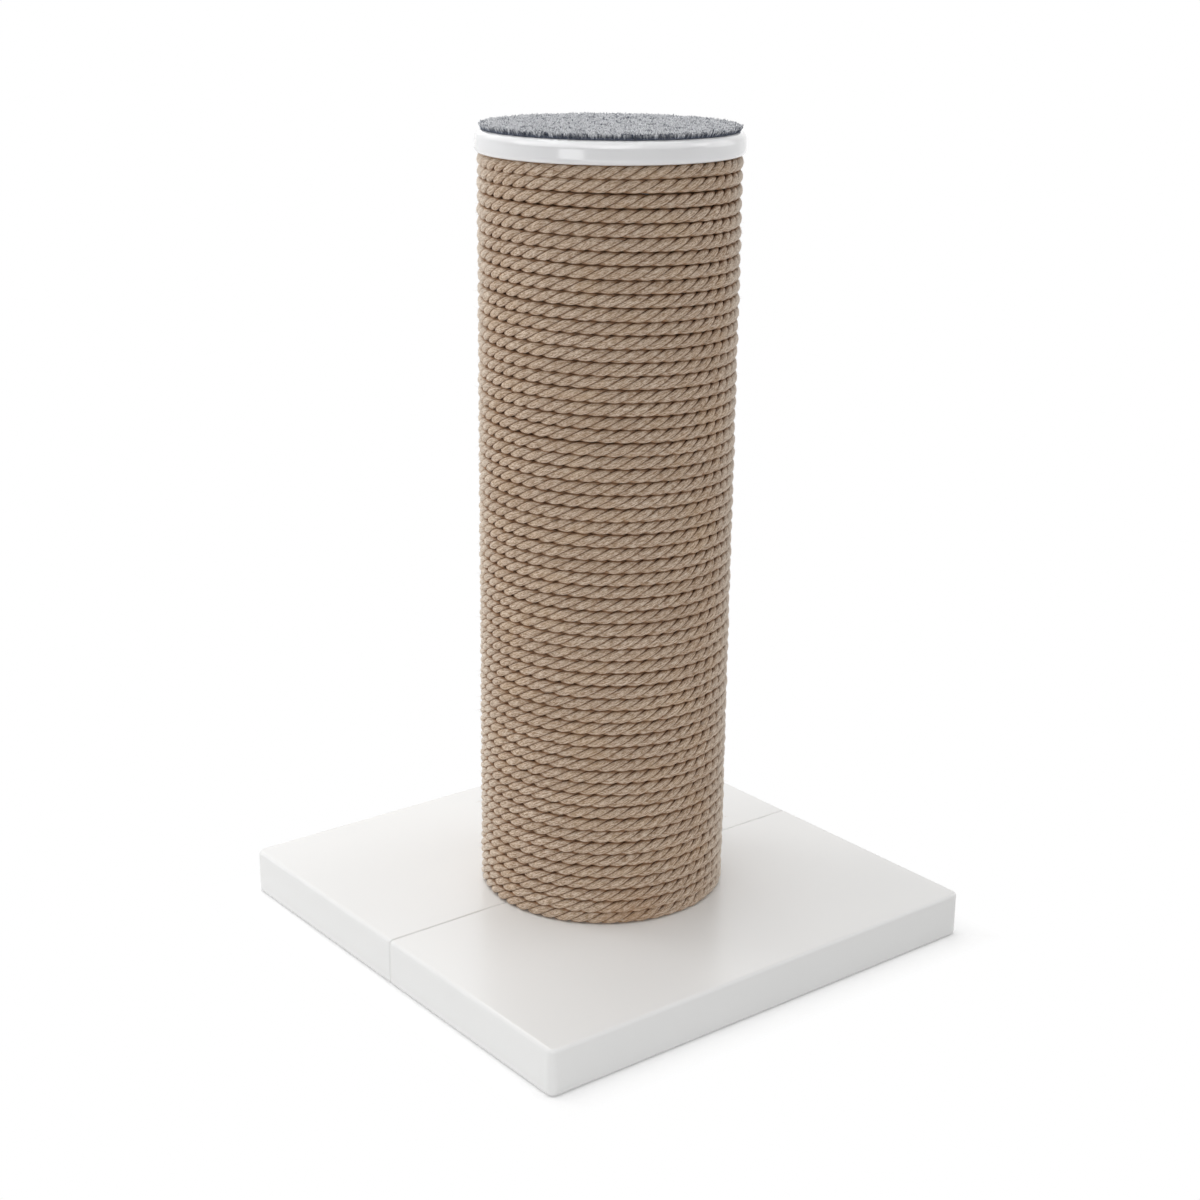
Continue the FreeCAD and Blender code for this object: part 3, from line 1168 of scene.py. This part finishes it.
    @staticmethod
    def _map_lay(mesh: bpy.types.Mesh, run: np.ndarray, angle: np.ndarray) -> None:
        """Map the mesh by the run along the rope and the turns round it.

        Args:
            mesh: The rope's mesh, with its side faces ring by ring and then its two caps.
            run: Each ring's place along the winding.
            angle: Each point's angle round the rope from its own fibres, by ring and column.
        """
        rings, columns = angle.shape
        ring, column = np.meshgrid(np.arange(rings - 1), np.arange(columns), indexing="ij")
        wide = np.hstack((angle, angle[:, :1] + FULL_TURN)) / FULL_TURN
        corners = ((ring, column), (ring, column + 1), (ring + 1, column + 1), (ring + 1, column))
        places = np.stack([np.stack((run[row], wide[row, side]), axis=-1) for row, side in corners], axis=2)
        set_lay_map(mesh, np.concatenate((places.reshape(-1, 2), np.zeros((2 * columns, 2)))))

    @staticmethod
    def _crease_grooves(mesh: bpy.types.Mesh, columns: int, per_lobe: int) -> None:
        """Keep the shading sharp along the grooves between the strands.

        Args:
            mesh: The rope's mesh.
            columns: How many points a ring has.
            per_lobe: How many of them one strand has.
        """
        ends = np.empty(2 * len(mesh.edges), np.int32)
        mesh.edges.foreach_get("vertices", ends)
        places = ends.reshape(-1, 2) % columns
        sharp = (places[:, 0] == places[:, 1]) & (places[:, 0] % per_lobe == 0)
        mesh.attributes.new("sharp_edge", "BOOLEAN", "EDGE").data.foreach_set("value", sharp)

    def build(self, material: Material) -> None:
        """Build the three lengths, from the base up."""
        for index in range(len(self.nodes)):
            self.build_length(index, material)


@dataclass
class StrayFibres:
    """The loose fibres that stand off the rope, each a thin bent spike: long strays and short fuzz."""

    winding: RopeWinding
    seed: int = 41
    strays: int = 4200
    fuzz: int = 11000
    end_room: float = 0.03
    lean_limit: float = 1.3
    root_share: float = 0.46
    along_range: Range = (0.3, 1.0)
    outward_range: Range = (0.25, 0.9)
    stray_least: float = 0.0015
    stray_more: float = 0.0045
    stray_power: float = 0.6
    fuzz_range: Range = (0.0008, 0.002)
    curl: float = 0.22
    radius_range: Range = (0.00005, 0.00009)
    knee_share: float = 0.5
    knee_radius: float = 0.75

    def build(self, material: Material) -> None:
        """Build the fibres as one piece.

        Args:
            material: The rope's material.
        """
        rng = np.random.default_rng(self.seed)
        winding = self.winding
        count = self.strays + self.fuzz
        turns = rng.uniform(winding.first_turn + self.end_room, winding.last_turn - self.end_room, count)
        middle = winding.centre(turns)
        along = winding.heading(turns)
        radial = unit(middle * (1, 1, 0))
        lean = rng.uniform(-self.lean_limit, self.lean_limit, count)[:, None]
        out = np.cos(lean) * radial + np.sin(lean) * np.cross(along, radial)
        root = middle + out * winding.diameter * self.root_share
        sense = rng.choice((-1.0, 1.0), count)[:, None]
        forward = sense * along * rng.uniform(*self.along_range, (count, 1))
        way = unit(forward + out * rng.uniform(*self.outward_range, (count, 1)))
        length = self.stray_least + self.stray_more * rng.power(self.stray_power, (count, 1))
        length[self.strays:] = rng.uniform(*self.fuzz_range, (self.fuzz, 1))
        bend = unit(rng.normal(size=(count, 3))) * length * self.curl
        radius = rng.uniform(*self.radius_range, (count, 1))
        side = unit(np.cross(way, out))
        levels = ((root, radius), (root + way * length * self.knee_share, radius * self.knee_radius))
        points = spike_points(levels, side, np.cross(way, side), root + way * length + bend)
        mesh = new_mesh("rope_stray_fibres", points, spike_faces(count))
        set_point_values(mesh, "crest", np.ones(len(points)))
        set_point_values(mesh, "face", np.ones(len(points)))
        corner = np.empty(len(mesh.loops), np.int32)
        mesh.loops.foreach_get("vertex_index", corner)
        run = np.repeat(turns * winding.around, SPIKE_POINTS)
        set_lay_map(mesh, np.stack((run[corner], corner % SPIKE_POINTS / SPIKE_POINTS), axis=-1))
        add_piece("rope_stray_fibres", mesh, material)


@dataclass
class CarpetBacking:
    """The woven round that the pile stands on."""

    radius: float
    seed: int = 51
    height: float = 0.0018
    unevenness: float = 0.00008
    rings: int = 24
    segments: int = 120
    weave: FleckFinish = FleckFinish(
        "carpet_backing", dark=srgb(44, 49, 62), middle=srgb(74, 80, 94), light=srgb(128, 132, 142),
        scales=(900.0, 900.0, 900.0), contrast=3.0, roughness=0.95,
    )

    def build(self, effects: Effects, level: float) -> bpy.types.Object:
        """Build the backing as rings from the middle out, with a rim and an underside.

        Args:
            effects: The shared effects.
            level: The height of the disc's top.

        Returns:
            The piece.
        """
        rng = np.random.default_rng(self.seed)
        size = self.segments
        angles = np.linspace(0, FULL_TURN, size, endpoint=False)
        rim = self.radius * np.stack((np.cos(angles), np.sin(angles)), axis=-1)
        rings = []
        for share in np.linspace(0, 1, self.rings + 1)[1:]:
            ring = np.column_stack((rim * share, np.full(size, level + self.height)))
            rings.append(ring + rng.normal(scale=(0, 0, self.unevenness), size=ring.shape))
        rings.append(np.column_stack((rim, np.full(size, level))))
        points = np.concatenate((*rings, [(0, 0, level + self.height), (0, 0, level)]))
        index = np.arange(size)
        following = (index + 1) % size
        quads = [np.column_stack((row + index, row + size + index, row + size + following, row + following))
                 for row in size * np.arange(self.rings)]
        top = np.column_stack((np.full(size, len(points) - 2), index, following))
        last = self.rings * size
        bottom = np.column_stack((np.full(size, len(points) - 1), last + following, last + index))
        mesh = new_mesh("carpet_backing", points, (np.concatenate(quads), np.concatenate((top, bottom))))
        return add_piece("carpet_backing", mesh, self.weave.make(effects))


@dataclass
class CarpetPile:
    """Cut pile, one small spike per tuft, in pale and dark clumps and leaning out over the rim."""

    radius: float
    seed: int = 61
    root_height: float = 0.0006
    height: float = 0.0046
    spacing: float = 0.00126
    row_step: float = 0.866
    row_excess: float = 1.16
    place_jitter: float = 0.45
    edge_margin: float = 0.0004
    rim_width: float = 0.003
    rim_drop: float = 0.0012
    clump_cells: int = 70
    clump_jitter: float = 0.4
    clump_spread: float = 0.45
    tone_jitter: float = 0.25
    lean_jitter: float = 0.18
    rim_lean: Range = (0.2, 1.3)
    lean_reach: float = 0.7
    least_share: float = 0.8
    pale_share: float = 0.22
    height_jitter: float = 0.08
    tuft_radius: float = 0.0006
    foot_share: float = 0.85
    knee_share: float = 1.1
    knee_rise: float = 0.82
    inner_rise: float = 0.45
    finish: PileFinish = PileFinish()

    def roots(self, rng: np.random.Generator) -> np.ndarray:
        """Spread the tufts' roots over the carpet, on a shaken grid of staggered rows.

        Args:
            rng: The pile's random numbers.

        Returns:
            The roots' places on the disc, one row each.
        """
        count = int(2 * self.radius / self.spacing) + 2
        column, row = np.meshgrid(np.arange(count), np.arange(int(count * self.row_excess)))
        grid = np.stack(((column + 0.5 * (row % 2)).ravel(), row.ravel() * self.row_step), axis=-1)
        grid = grid * self.spacing - self.radius
        grid += rng.uniform(-self.place_jitter, self.place_jitter, grid.shape) * self.spacing
        return grid[np.hypot(grid[:, 0], grid[:, 1]) < self.radius - self.edge_margin]

    def tones(self, rng: np.random.Generator, grid: np.ndarray) -> np.ndarray:
        """Draw how pale each tuft is, much the same within a clump.

        Args:
            rng: The pile's random numbers.
            grid: The roots' places.

        Returns:
            One number per tuft, from 0 for dark to 1 for pale.
        """
        clump = rng.beta(self.clump_spread, self.clump_spread, (self.clump_cells, self.clump_cells))
        cell = (grid / self.radius + 1) / 2 * self.clump_cells
        cell += rng.uniform(-self.clump_jitter, self.clump_jitter, cell.shape)
        cell = np.clip(cell, 0, self.clump_cells - 1).astype(int)
        uneven = rng.normal(scale=self.tone_jitter, size=len(grid))
        return np.clip(clump[cell[:, 0], cell[:, 1]] + uneven, 0, 1)

    def build(self, effects: Effects, level: float) -> bpy.types.Object:
        """Build the pile as one piece.

        Args:
            effects: The shared effects.
            level: The height of the disc's top.

        Returns:
            The piece.
        """
        rng = np.random.default_rng(self.seed)
        grid = self.roots(rng)
        size = len(grid)
        reach = np.hypot(grid[:, 0], grid[:, 1])[:, None]
        outward = np.column_stack((grid / reach, np.zeros(size)))
        edge = np.clip((reach - (self.radius - self.rim_width)) / self.rim_width, 0, 1)
        tone = self.tones(rng, grid)
        lean = rng.normal(scale=(self.lean_jitter, self.lean_jitter, 0), size=(size, 3))
        lean += outward * edge * rng.uniform(*self.rim_lean, (size, 1))
        uneven = rng.normal(scale=self.height_jitter, size=(size, 1)) * (1 + edge)
        height = self.height - self.root_height - self.rim_drop * edge ** 2
        height = height * (self.least_share + self.pale_share * tone[:, None] + uneven)
        root = np.column_stack((grid, np.full(size, level + self.root_height)))
        tip = root + height * (np.array((0, 0, 1.0)) + lean * self.lean_reach)
        spin = rng.uniform(0, FULL_TURN, (size, 1))
        flat = np.zeros((size, 1))
        side = np.hstack((np.cos(spin), np.sin(spin), flat))
        other = np.hstack((-np.sin(spin), np.cos(spin), flat))
        knee = root + (tip - root) * self.knee_rise
        levels = ((root, self.tuft_radius * self.foot_share), (knee, self.tuft_radius * self.knee_share))
        mesh = new_mesh("carpet_pile", spike_points(levels, side, other, tip), spike_faces(size))
        set_point_values(mesh, "tone", np.repeat(tone, SPIKE_POINTS))
        # Tufts inside the rim start part way up the ramp, so only the rim's roots take the full painted root
        # shade.
        foot = np.repeat(self.inner_rise * (1 - edge), 3, axis=1)
        rise = np.hstack((foot, np.full((size, 3), self.knee_rise), np.ones((size, 1))))
        set_point_values(mesh, "rise", rise)
        return add_piece("carpet_pile", mesh, self.finish.make(effects))


@dataclass
class Perch:
    """The painted disc, kept from the CAD, and the round of carpet on it."""

    disc: str = "perch_disc"
    carpet_radius: float = 0.0934
    backing_inset: float = 0.0006
    paint: PaintFinish = PaintFinish(
        "gloss_white", colour=srgb(229, 229, 230), shade=srgb(227, 227, 228),
        smooth=0.1, rough=0.15, peel_scale=420.0, relief=0.02, coat=0.5,
    )

    def dress(self, effects: Effects) -> None:
        """Give the disc its finish."""
        dress_nodes((self.disc,), self.paint.make(effects))

    def build(self, effects: Effects) -> None:
        """Build the carpet.

        Args:
            effects: The shared effects.
        """
        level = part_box(self.disc)[1].z
        backing = CarpetBacking(self.carpet_radius - self.backing_inset).build(effects, level)
        pile = CarpetPile(self.carpet_radius).build(effects, level)
        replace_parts(backing, "carpet_pad")


@dataclass(frozen=True)
class Lamp:
    """A soft panel lamp, placed by where it stands as seen from the object.

    A lamp with gloss_of is seen only as a reflection, in the CAD node of that name.
    """

    name: str
    azimuth: float
    elevation: float
    distance: float
    width: float
    height: float
    power: float
    mirrored: bool = True
    gloss_of: str = ""

    def place(self, aim: Vector) -> None:
        """Put the lamp in the scene.

        Args:
            aim: The point that it is turned towards.
        """
        light = bpy.data.lights.new(self.name, "AREA")
        light.shape = "RECTANGLE"
        light.size = self.width
        light.size_y = self.height
        light.energy = self.power
        lamp = bpy.data.objects.new(self.name, light)
        turn, rise = math.radians(self.azimuth), math.radians(self.elevation)
        away = Vector((math.cos(turn) * math.cos(rise), math.sin(turn) * math.cos(rise), math.sin(rise)))
        lamp.location = aim + away * self.distance
        lamp.rotation_mode = "QUATERNION"
        lamp.rotation_quaternion = away.to_track_quat("Z", "Y")
        lamp.visible_camera = False
        lamp.visible_glossy = self.mirrored
        bpy.context.scene.collection.objects.link(lamp)
        if self.gloss_of:
            shown_on = bpy.data.collections.new(f"{self.name}_shown_on")
            shown_on.objects.link(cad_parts[self.gloss_of])
            lamp.light_linking.receiver_collection = shown_on
            lamp.visible_diffuse = False


@dataclass
class Studio:
    """A white floor, soft panel lamps and the camera at the photograph's angle."""

    # Name, azimuth, elevation, distance, width, height and power
    lamps: tuple[Lamp, ...] = (
        Lamp("window_panel", 120.0, 52.0, 1.7, 1.6, 1.6, 6.9),
        Lamp("left_panel", 180.0, 40.0, 1.7, 1.4, 1.4, 2.5),
        Lamp("rim_panel", 122.0, 8.0, 1.6, 0.7, 0.6, 7.8, mirrored=False),
        Lamp("back_panel", 60.0, 40.0, 2.0, 1.6, 1.6, 7.1),
        Lamp("right_panel", -25.0, 25.0, 2.0, 1.4, 1.4, 9.0),
        Lamp("top_panel", 120.0, 88.0, 1.9, 1.8, 1.8, 18.9),
        Lamp("front_box", -160.0, 4.0, 2.0, 0.75, 0.5, 3.5),
        Lamp("gloss_left", -165.0, 45.0, 2.0, 4.0, 1.6, 48.0, gloss_of="perch_disc"),
        Lamp("gloss_right", -90.0, 45.0, 2.0, 4.0, 1.6, 34.0, gloss_of="perch_disc"),
        Lamp("front_strip", -128.0, -7.0, 1.2, 1.0, 0.26, 1.8),
        Lamp("side_strip", -85.0, -7.0, 1.2, 1.0, 0.26, 0.7),
    )
    aim: Vector = Vector((0.0, 0.0, 0.3))
    ambient: float = 0.2
    white: Colour = (1.0, 1.0, 1.0, 1.0)
    floor_albedo: float = 0.85
    floor_lift: float = 0.22
    floor_half: float = 40.0
    fade_start: float = 0.2
    fade_end: float = 0.228
    yaw: float = math.radians(-38.451)
    pitch: float = math.radians(17.868)
    roll: float = math.radians(0.665)
    lens: float = 60.64
    sensor_width: float = 36.0
    sight: float = 200.0
    camera_place: Vector = Vector((-0.9222, -1.1557, 0.7408))

    def floor_material(self) -> Material:
        """Build the floor's material: shaded near the object, and fading to plain white away from it.

        Returns:
            The material.
        """
        graph = open_material("studio_floor")
        shown = graph.backdrop_rays()
        matte = graph.add("BsdfDiffuse", {"Color": (self.floor_albedo,) * 3 + (1.0,)}).outputs[0]
        strength = graph.math("MULTIPLY", shown, self.floor_lift)
        lift = graph.add("Emission", {"Color": self.white, "Strength": strength}).outputs[0]
        near = graph.add("AddShader", {0: matte, 1: lift}).outputs[0]
        white = graph.add("Emission", {"Color": self.white, "Strength": 1.0}).outputs[0]
        distances = graph.add("VectorMath", {0: graph.place()}, operation="ABSOLUTE").outputs[0]
        sides = graph.add("SeparateXYZ", {0: distances}).outputs
        reach = graph.math("MAXIMUM", sides[0], sides[1])
        far = graph.math("MULTIPLY", graph.spread(reach, self.fade_start, self.fade_end), shown)
        surface = graph.add("MixShader", {0: far, 1: near, 2: white}).outputs[0]
        graph.add("OutputMaterial", {"Surface": surface})
        return bpy.data.materials["studio_floor"]

    def build_floor(self) -> None:
        """Build the floor, white to the camera except where the object shades it."""
        half = self.floor_half
        corners = np.array(((-half, -half, 0), (half, -half, 0), (half, half, 0), (-half, half, 0)))
        mesh = new_mesh("studio_floor", corners, (np.array(((0, 1, 2, 3),)),))
        mesh.materials.append(self.floor_material())
        floor = bpy.data.objects.new("studio_floor", mesh)
        bpy.context.scene.collection.objects.link(floor)

    def build_world(self) -> None:
        """Build the white surroundings, which light the object only faintly."""
        world = bpy.data.worlds.new("studio_world")
        world.use_nodes = True
        world.node_tree.nodes.clear()
        graph = Graph(world.node_tree)
        strength = graph.spread(graph.backdrop_rays(), 0.0, 1.0, self.ambient, 1.0)
        sky = graph.add("Background", {"Color": self.white, "Strength": strength}).outputs[0]
        graph.add("OutputWorld", {"Surface": sky})
        bpy.context.scene.world = world

    def build_camera(self) -> None:
        """Build the camera at the photograph's angle."""
        back = Vector((
            math.sin(self.yaw) * math.cos(self.pitch),
            -math.cos(self.yaw) * math.cos(self.pitch),
            math.sin(self.pitch),
        ))
        level = Vector((math.cos(self.yaw), math.sin(self.yaw), 0.0))
        upright = back.cross(level)
        right = level * math.cos(self.roll) + upright * math.sin(self.roll)
        up = upright * math.cos(self.roll) - level * math.sin(self.roll)
        data = bpy.data.cameras.new("photo_camera")
        data.sensor_width = self.sensor_width
        data.lens = self.lens
        data.clip_end = self.sight
        camera = bpy.data.objects.new("photo_camera", data)
        bpy.context.scene.collection.objects.link(camera)
        turn = Matrix((right, up, back)).transposed().to_4x4()
        camera.matrix_world = Matrix.Translation(self.camera_place) @ turn
        bpy.context.scene.camera = camera

    def build(self) -> None:
        """Build the whole studio."""
        self.build_floor()
        self.build_world()
        for lamp in self.lamps:
            lamp.place(self.aim)
        self.build_camera()
        bpy.context.scene.view_settings.view_transform = "Standard"
        LOG.info("studio: %d lamps", len(self.lamps))


def main() -> None:
    """Build and dress every part of the scene."""
    logging.basicConfig(level=logging.INFO, format="%(message)s")
    effects = Effects()
    Base().dress(effects)
    Post().dress(effects)
    rope = RopeFinish().make(effects)
    winding = RopeWinding()
    winding.build(rope)
    StrayFibres(winding).build(rope)
    perch = Perch()
    perch.dress(effects)
    perch.build(effects)
    Studio().build()


if __name__ == "__main__":
    main()
